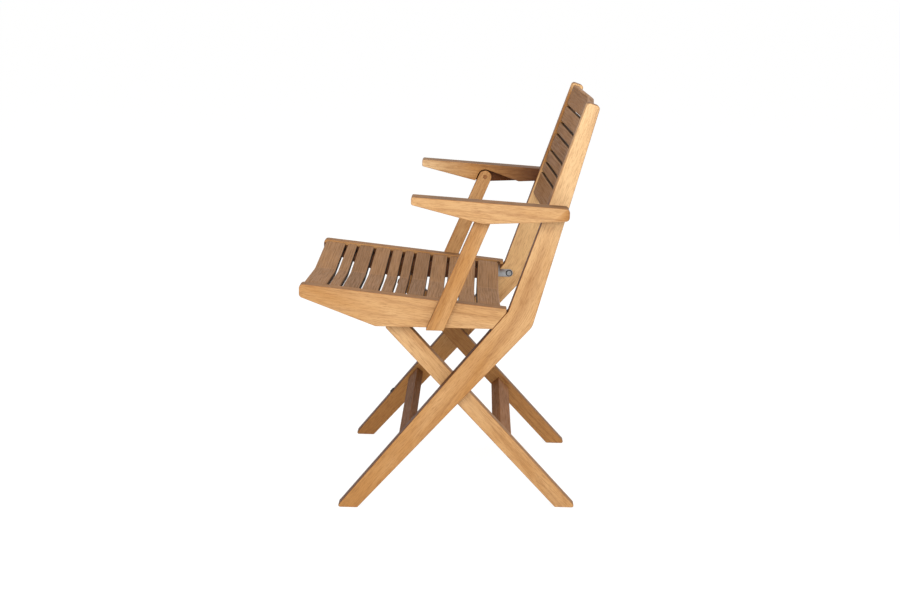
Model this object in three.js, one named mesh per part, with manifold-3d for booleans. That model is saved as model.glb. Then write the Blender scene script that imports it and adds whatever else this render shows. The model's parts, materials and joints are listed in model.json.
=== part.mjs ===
// Folding teak armchair: two bent back legs with a slatted back, a slatted seat that swings up against
// them, rear legs that cross behind, and armrests on short posts that fold with the seat.
// Millimetres, +Z up, the chair faces -Y, X = 0 is the plane of symmetry and the floor is Z = 0.
// Outlines are drawn in the side plane as (y, z) points and made into boards across X.

import * as THREE from 'three';
import { mergeVertices } from 'three/addons/utils/BufferGeometryUtils.js';
import Module from 'manifold-3d';

const wasm = await Module();
wasm.setup();

// Gaps between pieces
const touchGap = 0.3;             // pieces that rest on each other or are fixed together
const slideGap = 0.5;             // boards that slide past each other
const recessGap = 2.6;            // room round the post in the armrest, where the linkage is free
const overrun = 5;                // how far a cutter runs past the face that it opens

// Across the width
const frameHalfWidth = 252;       // centre plane to the outer face of a back leg or a seat rail
const frameThickness = 27;
const rearLegThickness = 24;
const rearLegOffset = 5;          // back leg to the rear leg beside it, filled by the washer
const armrestWidth = 40;
const postThickness = 20;

// Back leg: one bent board, the front leg below and the back's stile above
const bendY = 96.5;
const bendHeight = 436.5;
const backLean = 18.6;            // degrees from vertical
const stileLength = 453;
const stileTopWidth = 27;
const stileSeatWidth = 54;        // width just above the seat
const stileSeatReach = 44;        // how far above the bend that width is
const legRise = 51.1;             // degrees above the floor
const legBendWidth = 59;
const legFootWidth = 33.5;
const backHeelRadius = 30;
const stileEndRadius = 7;
const footRadius = 4;

// Seat
const seatSlope = 5.7;            // degrees, the front is higher
const railCornerInset = 2.5;      // from the bend forwards to the rail's rear top corner
const railCornerRise = 4.5;       // from the bend up to that corner
const railLength = 427;           // from that corner to the front tip, measured level
const railDepth = 43;             // from that corner down to the level underside
const railTipDepth = 27;
const railTaperReach = 270;       // from that corner to where the underside starts to taper
const railTipRadius = 8;
const slatDrop = 3;               // seat slats below the rail's top edge
const seatSlatThickness = 16;
const seatDish = 15;
const seatSlatStart = 6;          // from the rail's front tip to the first slat
const seatSlatEnd = 12.1;         // from the last slat to the rail's rear corner
const seatSlatWidths = [47, 23, 35, 35, 24, 22, 34, 35, 23, 34, 49];   // fitted to the rail's length
const slatGap = 5;
const dishRadius = 260;           // rounding of the dish at the middle
const dishFlat = 24;              // level end of a slat, over its cleat
const cleatWidth = 20;
const cleatHeight = 14.5;
const cleatFrontInset = 14;
const cleatRearInset = 22;

// Back slats, from the top down
const backSlatWidths = [46, 35, 23, 35, 25, 20, 53];   // fitted to the stile's length
const backSlatStart = 5;          // from the stile's top end to the first slat
const backSlatEnd = 181;          // from the bend up to the lowest slat
const backSlatRecess = 4.5;       // behind the stile's front edge
const backSlatThickness = 15;
const backDish = 17;

// Seat hinge: a steel plate on the back leg that carries the rail's corner
const hingeInset = 12;            // pivot in front of the rail's top corner
const hingeDrop = 5;              // pivot below the rail's top edge
const plateThickness = 2.7;
const plateHeight = 18;
const plateEarRadius = 4.2;
const plateBoltReach = 26;        // from the pivot rearwards to the bolt
const plateBoltDrop = 24.2;       // from the pivot down to the bolt
const plateFrontReach = 8;        // from the pivot forwards to the plate's front end
const plateScrewReach = 1;        // from the pivot rearwards to the screw
const plateScrewDrop = 4;         // from the bolt down to the screw
const boltRadius = 3;
const boltHeadRadius = 5.4;
const boltHeadHeight = 3.4;
const socketRadius = 2.9;
const socketDepth = 2.2;
const boltLength = 20;
const screwRadius = 1.9;
const screwHeadRadius = 3.4;
const screwHeadHeight = 1.6;
const screwLength = 15;
const hingePinRadius = 2.4;
const hingePinHeadRadius = 3.8;
const hingePinHeadHeight = 1.2;
const hingePinLength = 18;

// Rear leg
const crossingReach = 204.6;      // from the bend down along the leg
const crossingInset = 24.4;       // below the leg's upper edge
const rearLegRise = 46.9;         // degrees above the floor
const rearLegTopWidth = 39;
const rearLegTopReach = 192;      // from the crossing up to the leg's top end
const rearLegTopRadius = 5;
const rearLegFootWidth = 33;
const crossPinRadius = 5;
const crossPinDepth = 15;         // in each of the two boards
const washerRadius = 13;
const legRestReach = 14;          // behind the point where the leg bears on it
const legStopLength = 12;
const legStopDrop = 9;            // of the lip that keeps the leg from sliding forwards

// Stretchers
const frontStretcherReach = 349;  // from the bend down along the leg
const frontStretcherInset = 16;   // its middle below the leg's upper edge
const frontStretcherWidth = 34;
const frontStretcherThickness = 18;
const rearStretcherReach = 160;   // from the crossing down along the rear leg
const rearStretcherInset = 4.5;   // its middle below the rear leg's centre line
const rearStretcherWidth = 36;
const rearStretcherThickness = 24;
const studReach = 143;            // from the sole up along the leg
const studRadius = 3.6;
const studHeight = 4.2;
const studDepth = 8;

// Armrest and its post
const armPivotReach = 219.8;      // from the bend up along the stile
const armPivotInset = 12;         // behind the stile's front edge
const armFrontReach = 282;        // from the pivot to the armrest's tip
const armRearReach = 34;          // from the pivot to its rear end
const armTopRise = 18.2;          // from the pivot up to its top
const armTopSlope = 3.2;          // degrees down towards the back
const armTipDepth = 16;
const armKneeReach = 138;         // from the pivot forwards to the deepest point
const armKneeDepth = 43.5;
const armRearDepth = 24.5;
const armTipRadius = 4;
const armRearRadius = 8;
const armKneeRadius = 60;
const armPinRadius = 4;
const armPinDepth = 14;           // in each of the two boards
const headReach = 133;            // from the armrest's pivot forwards to the post's head
const headDrop = 4;               // from that pivot down to the head
const headRadius = 15;
const headPinRadius = 4.8;
const headPinReach = 12;          // past the post, into the armrest
const postLean = 22.2;            // degrees from vertical
const postFootWidth = 34;
const postFootDrop = 1;           // of the foot below the rail's underside
const postPivotRise = 24;         // from the rail's underside up to the pivot
const postPinRadius = 4;
const postPinDepth = 13;          // in each of the two boards
const postFold = 93;              // degrees that the post turns in the armrest

// Roundness of what is drawn in short steps
const arcStep = 15;               // degrees
const rodSides = 20;

// Finishes
const teakSide = new THREE.MeshStandardMaterial({ color: 0xd9a566, roughness: 0.62, metalness: 0 });
const teakTop = new THREE.MeshStandardMaterial({ color: 0x8f7156, roughness: 0.72, metalness: 0 });
const teakShade = new THREE.MeshStandardMaterial({ color: 0xb8814a, roughness: 0.66, metalness: 0 });
const steel = new THREE.MeshStandardMaterial({ color: 0xa4a7aa, roughness: 0.35, metalness: 1 });
const darkStud = new THREE.MeshStandardMaterial({ color: 0x2a2422, roughness: 0.6, metalness: 0 });

const chair = new THREE.Group();

// Points and directions in the side plane

function place(y, z) {
  return new THREE.Vector2(y, z);
}

function heading(degrees) {
  const angle = THREE.MathUtils.degToRad(degrees);
  return place(Math.cos(angle), Math.sin(angle));
}

function leftOf(way) {
  return place(-way.y, way.x);
}

function step(start, way, distance) {
  return start.clone().addScaledVector(way, distance);
}

function lineMeet(start, way, other, otherWay) {
  const between = other.clone().sub(start);
  return step(start, way, between.cross(otherWay) / way.cross(otherWay));
}

function levelMeet(start, way, height) {
  return step(start, way, (height - start.y) / way.y);
}

function uprightMeet(start, way, y) {
  return step(start, way, (y - start.x) / way.x);
}

// Outlines

function arcPoints(centre, radius, fromDegrees, toDegrees) {
  const steps = Math.max(1, Math.ceil(Math.abs(toDegrees - fromDegrees) / arcStep));
  const points = [];
  for (let i = 0; i <= steps; i += 1) {
    const angle = THREE.MathUtils.lerp(fromDegrees, toDegrees, i / steps);
    points.push(step(centre, heading(angle), radius));
  }
  return points;
}

function roundCorner(before, corner, after, radius) {
  const back = before.clone().sub(corner).normalize();
  const on = after.clone().sub(corner).normalize();
  const half = back.angleTo(on) / 2;
  const cut = radius / Math.tan(half);
  const middle = step(corner, back.clone().add(on).normalize(), radius / Math.sin(half));
  const start = step(corner, back, cut).sub(middle);
  const end = step(corner, on, cut).sub(middle);
  const from = THREE.MathUtils.radToDeg(start.angle());
  let turn = THREE.MathUtils.radToDeg(end.angle()) - from;
  if (turn > 180) turn -= 360;
  if (turn < -180) turn += 360;
  return arcPoints(middle, radius, from, from + turn);
}

function roundedOutline(corners) {
  const points = [];
  corners.forEach(([corner, radius], i) => {
    const before = corners[(i + corners.length - 1) % corners.length][0];
    const after = corners[(i + 1) % corners.length][0];
    if (radius > 0) {
      points.push(...roundCorner(before, corner, after, radius));
    } else {
      points.push(corner);
    }
  });
  return points;
}

// Solids

function board(points, xFrom, xTo) {
  const options = { depth: Math.abs(xTo - xFrom), bevelEnabled: false };
  const geometry = new THREE.ExtrudeGeometry(new THREE.Shape(points), options);
  const axes = new THREE.Matrix4().makeBasis(
    new THREE.Vector3(0, 1, 0),
    new THREE.Vector3(0, 0, 1),
    new THREE.Vector3(1, 0, 0),
  );
  geometry.applyMatrix4(axes);
  geometry.translate(Math.min(xFrom, xTo), 0, 0);
  return geometry;
}

function revolved(profile, centre, side, xStart) {
  const geometry = new THREE.LatheGeometry(profile, rodSides);
  geometry.rotateZ(-side * Math.PI / 2);
  geometry.translate(side * xStart, centre.x, centre.y);
  return geometry;
}

function rodAcross(centre, radius, side, xStart, xEnd) {
  const length = xEnd - xStart;
  const profile = [place(0, 0), place(radius, 0), place(radius, length), place(0, length)];
  return revolved(profile, centre, side, xStart);
}

function headedRod(centre, side, xHead, head, shank, grow) {
  const neck = head.height;
  const profile = [
    place(0, 0),
    place(head.radius + grow, 0),
    place((head.flare ?? head.radius) + grow, neck),
    place(shank.radius + grow, neck),
    place(shank.radius + grow, neck + shank.length + grow),
    place(0, neck + shank.length + grow),
  ];
  return revolved(profile, centre, side, xHead);
}

function toSolid(geometry) {
  const bare = geometry.clone();
  bare.deleteAttribute('normal');
  bare.deleteAttribute('uv');
  const merged = mergeVertices(bare, 1e-4);
  const vertProperties = new Float32Array(merged.attributes.position.array);
  const triVerts = new Uint32Array(merged.index.array);
  return new wasm.Manifold(new wasm.Mesh({ numProp: 3, vertProperties, triVerts }));
}

function fromSolid(solid) {
  const mesh = solid.getMesh();
  const geometry = new THREE.BufferGeometry();
  geometry.setAttribute('position', new THREE.BufferAttribute(mesh.vertProperties, 3));
  geometry.setIndex(new THREE.BufferAttribute(mesh.triVerts, 1));
  geometry.computeVertexNormals();
  return geometry;
}

function carve(geometry, cutters) {
  let solid = toSolid(geometry);
  for (const cutter of cutters) {
    solid = solid.subtract(toSolid(cutter));
  }
  return fromSolid(solid);
}

function add(name, geometry, material) {
  const mesh = new THREE.Mesh(geometry, material);
  mesh.name = name;
  chair.add(mesh);
}

// Layers across the width, measured out from the centre plane
const frameInner = frameHalfWidth - frameThickness;
const rearLegOuter = frameInner - rearLegOffset;
const rearLegInner = rearLegOuter - rearLegThickness;
const armrestInner = frameHalfWidth + slideGap;
const armrestOuter = armrestInner + armrestWidth;
const postOuter = armrestInner + postThickness;

// Guide lines in the side plane
const bend = place(bendY, bendHeight);
const stileWay = heading(90 - backLean);
const stileBehind = leftOf(stileWay).negate();
const legWay = heading(180 + legRise);
const legBelow = leftOf(legWay);
const seatWay = heading(180 - seatSlope);
const seatUp = leftOf(seatWay).negate();
const railCorner = place(bend.x - railCornerInset, bend.y + railCornerRise);
const railFrontY = railCorner.x - railLength;
const railBottom = railCorner.y - railDepth;
const rearLegWay = heading(-rearLegRise);
const rearLegAbove = leftOf(rearLegWay);
const crossing = step(step(bend, legWay, crossingReach), legBelow, crossingInset);
const armWay = heading(-armTopSlope);
const armPivot = step(step(bend, stileWay, armPivotReach), stileBehind, armPivotInset);
const postHead = place(armPivot.x - headReach, armPivot.y - headDrop);
const postWay = heading(270 - postLean);
const postPivot = levelMeet(postHead, postWay, railBottom + postPivotRise);
const hinge = step(step(railCorner, seatWay, hingeInset), seatUp, -hingeDrop);
const plateBolt = place(hinge.x + plateBoltReach, hinge.y - plateBoltDrop);
const plateScrew = place(hinge.x + plateScrewReach, plateBolt.y - plateScrewDrop);

const plateBoltHead = { radius: boltHeadRadius, height: boltHeadHeight };
const plateBoltShank = { radius: boltRadius, length: boltLength };
const screwHead = { radius: screwHeadRadius, flare: screwRadius, height: screwHeadHeight };
const screwShank = { radius: screwRadius, length: screwLength };
const hingePinHead = { radius: hingePinHeadRadius, height: hingePinHeadHeight };
const hingePinShank = { radius: hingePinRadius, length: hingePinLength };
const plateInner = frameInner - touchGap - plateThickness;

// Back legs

function backLegOutline() {
  const top = step(bend, stileWay, stileLength);
  const topRear = step(top, stileBehind, stileTopWidth);
  const seatRear = step(step(bend, stileWay, stileSeatReach), stileBehind, stileSeatWidth);
  const sole = levelMeet(bend, legWay, 0);
  const lowerStart = step(bend, legBelow, legBendWidth);
  const lowerEnd = step(sole, legBelow, legFootWidth);
  const lowerWay = lowerEnd.clone().sub(lowerStart);
  const rearWay = seatRear.clone().sub(topRear);
  return roundedOutline([
    [sole, footRadius],
    [levelMeet(lowerStart, lowerWay, 0), footRadius],
    [lineMeet(topRear, rearWay, lowerStart, lowerWay), backHeelRadius],
    [topRear, stileEndRadius],
    [top, stileEndRadius],
    [bend, 0],
  ]);
}

function studPlace() {
  return step(levelMeet(bend, legWay, 0), legWay, -studReach);
}

function studRod(grow) {
  const length = studDepth + studHeight + 2 * grow;
  const geometry = new THREE.CylinderGeometry(studRadius + grow, studRadius + grow, length, rodSides);
  geometry.translate(0, (studHeight - studDepth) / 2, 0);
  geometry.rotateX(THREE.MathUtils.degToRad(legRise));
  const foot = studPlace();
  geometry.translate(frameThickness / 2 - frameHalfWidth, foot.x, foot.y);
  return geometry;
}

function addBackLeg(side, label) {
  const cutters = [
    rodAcross(crossing, crossPinRadius + touchGap, side, frameInner - overrun,
      frameInner + crossPinDepth + touchGap),
    rodAcross(armPivot, armPinRadius + touchGap, side, frameHalfWidth - armPinDepth - touchGap,
      frameHalfWidth + overrun),
    headedRod(plateBolt, side, plateInner - touchGap - boltHeadHeight, plateBoltHead,
      plateBoltShank, touchGap),
    headedRod(plateScrew, side, plateInner - touchGap, screwHead, screwShank, touchGap),
  ];
  if (side < 0) cutters.push(studRod(touchGap));
  const geometry = board(backLegOutline(), side * frameInner, side * frameHalfWidth);
  add(`back_leg_${label}`, carve(geometry, cutters), teakSide);
}

// Slats with a shallow dish across the width

function dishedSlat(halfLength, width, thickness, dish, edge, up) {
  const shoulder = halfLength - dishFlat;
  const topCorners = [
    [place(-halfLength, 0), 0],
    [place(-shoulder, 0), 0],
    [place(0, -dish), dishRadius],
    [place(shoulder, 0), 0],
    [place(halfLength, 0), 0],
  ];
  const lower = topCorners.map(([corner, radius]) => [step(corner, place(0, -1), thickness), radius]);
  const shape = new THREE.Shape(roundedOutline([...topCorners, ...lower.reverse()]));
  const geometry = new THREE.ExtrudeGeometry(shape, { depth: width, bevelEnabled: false });
  const across = new THREE.Vector3(1, 0, 0);
  const normal = new THREE.Vector3(0, up.x, up.y);
  const axes = new THREE.Matrix4().makeBasis(across, normal, across.clone().cross(normal));
  geometry.applyMatrix4(axes);
  geometry.translate(0, edge.x, edge.y);
  return geometry;
}

function fitWidths(widths, room) {
  const wood = room - slatGap * (widths.length - 1);
  const sum = widths.reduce((total, width) => total + width, 0);
  return widths.map((width) => width * wood / sum);
}

function addBackSlats() {
  const front = stileBehind.clone().negate();
  const widths = fitWidths(backSlatWidths, stileLength - backSlatStart - backSlatEnd);
  let reach = stileLength - backSlatStart;
  widths.forEach((width, i) => {
    const edge = step(step(bend, stileWay, reach), stileBehind, backSlatRecess);
    const half = frameInner - touchGap;
    const slat = dishedSlat(half, width, backSlatThickness, backDish, edge, front);
    add(`back_slat_${i + 1}`, slat, teakTop);
    reach -= width + slatGap;
  });
}

// Seat

function railTopPoint(y) {
  return uprightMeet(railCorner, seatWay, y);
}

function seatDepthLine(depth) {
  return step(railCorner, seatUp, -depth);
}

function railOutline() {
  const knuckle = legEdgeDistance(hinge) - touchGap;
  const topAngle = 90 - seatSlope - THREE.MathUtils.radToDeg(Math.acos(hingeDrop / knuckle));
  const corner = arcPoints(hinge, knuckle, legRise - 90, topAngle);
  const tipTop = railTopPoint(railFrontY);
  const tipLow = place(railFrontY, tipTop.y - railTipDepth);
  const legEdge = step(bend, legBelow, -touchGap);
  return [
    ...roundedOutline([
      [tipTop, railTipRadius],
      [tipLow, railTipRadius],
      [place(railCorner.x - railTaperReach, railBottom), 0],
      [levelMeet(legEdge, legWay, railBottom), 0],
      [corner[corner.length - 1], 0],
    ]).slice(0, -1),
    ...corner,
  ];
}

function legEdgeDistance(from) {
  return Math.abs(from.clone().sub(bend).cross(legWay));
}

function addSeatRail(side, label) {
  const cutters = [
    rodAcross(postPivot, postPinRadius + touchGap, side, frameHalfWidth - postPinDepth - touchGap,
      frameHalfWidth + overrun),
    headedRod(hinge, side, plateInner - touchGap - hingePinHeadHeight, hingePinHead,
      hingePinShank, touchGap),
  ];
  const geometry = board(railOutline(), side * frameInner, side * frameHalfWidth);
  add(`seat_rail_${label}`, carve(geometry, cutters), teakSide);
}

function addSeatSlats() {
  let edge = step(step(railTopPoint(railFrontY), seatWay, -seatSlatStart), seatUp, -slatDrop);
  const hingeSide = plateInner - touchGap - hingePinHeadHeight - touchGap;
  const row = railTopPoint(railFrontY).distanceTo(railCorner) - seatSlatStart - seatSlatEnd;
  fitWidths(seatSlatWidths, row).forEach((width, i) => {
    const rear = step(edge, seatWay, -width);
    const last = i === seatSlatWidths.length - 1;
    const half = last ? hingeSide : frameInner - touchGap;
    add(`seat_slat_${i + 1}`, dishedSlat(half, width, seatSlatThickness, seatDish, rear, seatUp), teakTop);
    edge = step(rear, seatWay, -slatGap);
  });
}

function cleatOutline() {
  const top = seatDepthLine(slatDrop + seatSlatThickness + touchGap);
  const low = step(top, seatUp, -cleatHeight);
  const front = railFrontY + cleatFrontInset;
  const rear = hinge.x - cleatRearInset;
  return [
    uprightMeet(top, seatWay, front),
    uprightMeet(low, seatWay, front + cleatHeight),
    uprightMeet(low, seatWay, rear),
    uprightMeet(top, seatWay, rear),
  ];
}

function rearLegEnd(inset, beside) {
  return step(step(crossing, rearLegWay, inset - rearLegTopReach), rearLegAbove, beside);
}

function legRestOutline() {
  const round = rearLegEnd(rearLegTopRadius, rearLegTopWidth / 2 - rearLegTopRadius);
  const touch = step(round, seatUp, rearLegTopRadius + touchGap);
  const under = seatDepthLine(slatDrop + seatSlatThickness + cleatHeight + 2 * touchGap);
  const lip = step(touch, seatUp, -legStopDrop);
  const stop = lineMeet(rearLegEnd(-touchGap, 0), rearLegAbove, lip, seatWay).x;
  const front = stop - legStopLength;
  const rear = touch.x + legRestReach;
  return [
    uprightMeet(under, seatWay, front),
    uprightMeet(lip, seatWay, front),
    uprightMeet(lip, seatWay, stop),
    uprightMeet(touch, seatWay, stop),
    uprightMeet(touch, seatWay, rear),
    uprightMeet(under, seatWay, rear),
  ];
}

function addCleat(side, label) {
  const inner = side * (frameInner - touchGap - cleatWidth);
  const outer = side * (frameInner - touchGap);
  add(`seat_cleat_${label}`, board(cleatOutline(), inner, outer), teakShade);
  add(`leg_rest_${label}`, board(legRestOutline(), inner, outer), teakShade);
}

// Steel hinge at the bend

function plateOutline() {
  const halfHeight = plateHeight / 2;
  const front = hinge.x - plateFrontReach;
  const ear = arcPoints(hinge, plateEarRadius, 0, 180);
  const end = arcPoints(plateBolt, halfHeight, -90, 90);
  return [
    place(front, plateBolt.y - halfHeight),
    ...end,
    place(hinge.x + plateEarRadius, plateBolt.y + halfHeight),
    ...ear,
    place(front, plateBolt.y + halfHeight),
  ];
}

function addHinge(side, label) {
  const boltStart = plateInner - touchGap - boltHeadHeight;
  const pinStart = plateInner - touchGap - hingePinHeadHeight;
  const screwStart = plateInner - touchGap;
  const plate = board(plateOutline(), side * plateInner, side * (plateInner + plateThickness));
  const holes = [
    headedRod(plateBolt, side, boltStart, plateBoltHead, plateBoltShank, touchGap),
    headedRod(plateScrew, side, screwStart, screwHead, screwShank, touchGap),
    headedRod(hinge, side, pinStart, hingePinHead, hingePinShank, touchGap),
  ];
  add(`hinge_plate_${label}`, carve(plate, holes), steel);
  const bolt = headedRod(plateBolt, side, boltStart, plateBoltHead, plateBoltShank, 0);
  const hexagon = new THREE.CylinderGeometry(socketRadius, socketRadius, socketDepth + overrun, 6);
  hexagon.rotateZ(Math.PI / 2);
  hexagon.translate(side * (boltStart + (socketDepth - overrun) / 2), plateBolt.x, plateBolt.y);
  add(`hinge_bolt_${label}`, carve(bolt, [hexagon]), steel);
  add(`hinge_screw_${label}`, headedRod(plateScrew, side, screwStart, screwHead, screwShank, 0), steel);
  add(`hinge_pin_${label}`, headedRod(hinge, side, pinStart, hingePinHead, hingePinShank, 0), steel);
}

// Rear legs

function rearLegOutline() {
  const middle = levelMeet(crossing, rearLegWay, 0);
  const topHalf = rearLegTopWidth / 2;
  const footHalf = rearLegFootWidth / 2;
  const upperTop = rearLegEnd(0, topHalf);
  const lowerTop = rearLegEnd(0, -topHalf);
  const upperWay = step(middle, rearLegAbove, footHalf).sub(upperTop);
  const lowerWay = step(middle, rearLegAbove, -footHalf).sub(lowerTop);
  return roundedOutline([
    [upperTop, rearLegTopRadius],
    [lowerTop, rearLegTopRadius],
    [levelMeet(lowerTop, lowerWay, 0), footRadius],
    [levelMeet(upperTop, upperWay, 0), footRadius],
  ]);
}

function addRearLeg(side, label) {
  const bore = rodAcross(crossing, crossPinRadius + touchGap, side,
    rearLegOuter - crossPinDepth - touchGap, rearLegOuter + overrun);
  const geometry = board(rearLegOutline(), side * rearLegInner, side * rearLegOuter);
  add(`rear_leg_${label}`, carve(geometry, [bore]), teakSide);
  const pinFrom = rearLegOuter - crossPinDepth;
  const pinTo = frameInner + crossPinDepth;
  add(`crossing_pin_${label}`, rodAcross(crossing, crossPinRadius, side, pinFrom, pinTo), steel);
  const ring = [
    place(crossPinRadius + touchGap, 0),
    place(washerRadius, 0),
    place(washerRadius, rearLegOffset - 2 * touchGap),
    place(crossPinRadius + touchGap, rearLegOffset - 2 * touchGap),
    place(crossPinRadius + touchGap, 0),
  ];
  add(`crossing_washer_${label}`, revolved(ring, crossing, side, rearLegOuter + touchGap), darkStud);
}

// Stretchers

function slantedBar(middle, way, width, thickness) {
  const side = leftOf(way);
  const ends = [[-1, -1], [1, -1], [1, 1], [-1, 1]];
  return ends.map(([a, b]) => step(step(middle, way, a * width / 2), side, b * thickness / 2));
}

function addStretchers() {
  const front = step(step(bend, legWay, frontStretcherReach), legBelow, frontStretcherInset);
  const frontBar = slantedBar(front, legWay, frontStretcherWidth, frontStretcherThickness);
  const frontEnd = frameInner - touchGap;
  add('front_stretcher', board(frontBar, -frontEnd, frontEnd), teakShade);
  const rear = step(step(crossing, rearLegWay, rearStretcherReach), rearLegAbove, -rearStretcherInset);
  const rearBar = slantedBar(rear, rearLegWay, rearStretcherWidth, rearStretcherThickness);
  const rearEnd = rearLegInner - touchGap;
  add('rear_stretcher', board(rearBar, -rearEnd, rearEnd), teakShade);
}

// Armrests and posts

function armTop(reach) {
  return uprightMeet(place(armPivot.x, armPivot.y + armTopRise), armWay, armPivot.x + reach);
}

function armUnder(reach, depth) {
  return step(armTop(reach), place(0, -1), depth);
}

function armrestOutline() {
  return roundedOutline([
    [armTop(-armFrontReach), armTipRadius],
    [armUnder(-armFrontReach, armTipDepth), armTipRadius],
    [armUnder(-armKneeReach, armKneeDepth), armKneeRadius],
    [armUnder(armRearReach, armRearDepth), armRearRadius],
    [armTop(armRearReach), armRearRadius],
  ]);
}

function recessOutline() {
  const radius = headRadius + recessGap;
  const frontAngle = 180 - postLean;
  const rearAngle = postFold - postLean;
  const folded = heading(rearAngle - 90);
  const arc = arcPoints(postHead, radius, frontAngle, rearAngle);
  const frontLow = step(arc[0], postWay, armrestWidth);
  const rearLow = levelMeet(arc[arc.length - 1], folded, frontLow.y);
  return [frontLow, ...arc, rearLow];
}

function addArmrest(side, label) {
  const bores = [
    board(recessOutline(), side * (armrestInner - overrun), side * (postOuter + slideGap)),
    rodAcross(armPivot, armPinRadius + touchGap, side, armrestInner - overrun,
      armrestInner + armPinDepth + touchGap),
    rodAcross(postHead, headPinRadius + recessGap, side, armrestInner,
      postOuter + headPinReach + touchGap),
  ];
  const geometry = board(armrestOutline(), side * armrestInner, side * armrestOuter);
  add(`armrest_${label}`, carve(geometry, bores), teakSide);
  add(`armrest_pin_${label}`, rodAcross(armPivot, armPinRadius, side, frameHalfWidth - armPinDepth,
    armrestInner + armPinDepth), steel);
}

function postOutline() {
  const footHalf = postFootWidth / 2;
  const footHeight = railBottom - postFootDrop;
  const foot = levelMeet(postHead, postWay, footHeight);
  const beside = leftOf(postWay);
  const head = arcPoints(postHead, headRadius, -postLean, 180 - postLean);
  const footRear = step(foot, beside, footHalf);
  const footFront = step(foot, beside, -footHalf);
  const rearWay = footRear.clone().sub(head[0]);
  const frontWay = footFront.clone().sub(head[head.length - 1]);
  return [
    ...head,
    levelMeet(footFront, frontWay, footHeight),
    levelMeet(footRear, rearWay, footHeight),
  ];
}

function addPost(side, label) {
  const bores = [
    rodAcross(postHead, headPinRadius + touchGap, side, armrestInner - overrun, postOuter + overrun),
    rodAcross(postPivot, postPinRadius + touchGap, side, armrestInner - overrun,
      armrestInner + postPinDepth + touchGap),
  ];
  const geometry = board(postOutline(), side * armrestInner, side * postOuter);
  add(`arm_post_${label}`, carve(geometry, bores), teakSide);
  add(`post_head_pin_${label}`, rodAcross(postHead, headPinRadius, side, armrestInner,
    postOuter + headPinReach), teakShade);
  add(`post_foot_pin_${label}`, rodAcross(postPivot, postPinRadius, side,
    frameHalfWidth - postPinDepth, armrestInner + postPinDepth), steel);
}

for (const [side, label] of [[1, 'left'], [-1, 'right']]) {
  addBackLeg(side, label);
  addSeatRail(side, label);
  addCleat(side, label);
  addHinge(side, label);
  addRearLeg(side, label);
  addArmrest(side, label);
  addPost(side, label);
}
addBackSlats();
addSeatSlats();
addStretchers();
add('stop_stud', studRod(0), darkStud);

// The origin is on the floor, in the middle of the chair's depth
const middleOfDepth = new THREE.Box3().setFromObject(chair).getCenter(new THREE.Vector3()).y;
chair.position.y = -middleOfDepth;

export default chair;
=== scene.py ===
# Looks of the folding teak armchair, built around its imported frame. Metres, +Z up, the chair faces -Y.
import json
import math
import random
import bmesh
import bpy
from mathutils import Matrix, Vector


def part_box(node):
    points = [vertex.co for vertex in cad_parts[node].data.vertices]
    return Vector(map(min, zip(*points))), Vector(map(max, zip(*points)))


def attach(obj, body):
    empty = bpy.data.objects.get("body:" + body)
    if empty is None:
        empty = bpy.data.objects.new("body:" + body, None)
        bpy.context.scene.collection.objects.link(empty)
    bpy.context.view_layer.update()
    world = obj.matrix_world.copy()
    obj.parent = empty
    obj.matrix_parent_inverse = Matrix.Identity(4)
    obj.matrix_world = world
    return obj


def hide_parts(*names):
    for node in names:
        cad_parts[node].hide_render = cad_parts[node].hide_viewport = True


print("loading the packed chair")
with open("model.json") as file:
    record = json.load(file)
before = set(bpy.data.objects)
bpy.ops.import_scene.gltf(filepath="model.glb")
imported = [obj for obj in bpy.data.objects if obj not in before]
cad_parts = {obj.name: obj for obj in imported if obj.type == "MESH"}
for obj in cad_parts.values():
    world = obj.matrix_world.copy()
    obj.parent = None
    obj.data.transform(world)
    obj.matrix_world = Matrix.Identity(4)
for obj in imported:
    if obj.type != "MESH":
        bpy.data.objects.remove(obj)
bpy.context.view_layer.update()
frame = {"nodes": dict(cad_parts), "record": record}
nodes = frame["nodes"]
bodies = frame["record"]["behaviour"]["bodies"]
bodyOf = {node: body for body, members in bodies.items() for node in members}
scene = bpy.context.scene


def addObject(name, data):
    item = bpy.data.objects.new(name, data)
    scene.collection.objects.link(item)
    return item


# camera at the photograph's place, aim and lens
cameraView = {
    "place": (3.0743, 0.0554, 1.1357),
    "yaw": -0.978,          # degrees
    "pitch": 13.51,
    "roll": 1.19,
    "lens": 56.8, "sensor": 36,
    "clipStart": 0.05,
}


def addCamera(view):
    yaw, pitch, roll = (math.radians(view[key]) for key in ("yaw", "pitch", "roll"))
    forward = Vector((-math.cos(pitch) * math.cos(yaw),
                      math.cos(pitch) * math.sin(yaw), -math.sin(pitch)))
    level = Vector((math.sin(yaw), math.cos(yaw), 0))
    upright = level.cross(forward)
    right = level * math.cos(roll) + upright * math.sin(roll)
    up = upright * math.cos(roll) - level * math.sin(roll)
    data = bpy.data.cameras.new("photoCamera")
    data.lens = view["lens"]
    data.sensor_width = view["sensor"]
    data.clip_start = view["clipStart"]
    camera = addObject("photoCamera", data)
    turn = Matrix((right, up, -forward)).transposed().to_4x4()
    camera.matrix_world = Matrix.Translation(view["place"]) @ turn
    scene.camera = camera


print("placing the camera")
addCamera(cameraView)


# node helpers: sockets are given by name or by number
def feed(tree, socket, value):
    if isinstance(value, bpy.types.NodeSocket):
        tree.links.new(value, socket)
    else:
        socket.default_value = value


def addNode(tree, kind, sockets=None, **values):
    node = tree.nodes.new(kind)
    for key, value in values.items():
        setattr(node, key, value)
    for key, value in (sockets or {}).items():
        feed(tree, node.inputs[key], value)
    return node


def maths(tree, operation, *values, clamp=False):
    sockets = dict(enumerate(values))
    return addNode(tree, "ShaderNodeMath", sockets, operation=operation, use_clamp=clamp).outputs[0]


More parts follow.
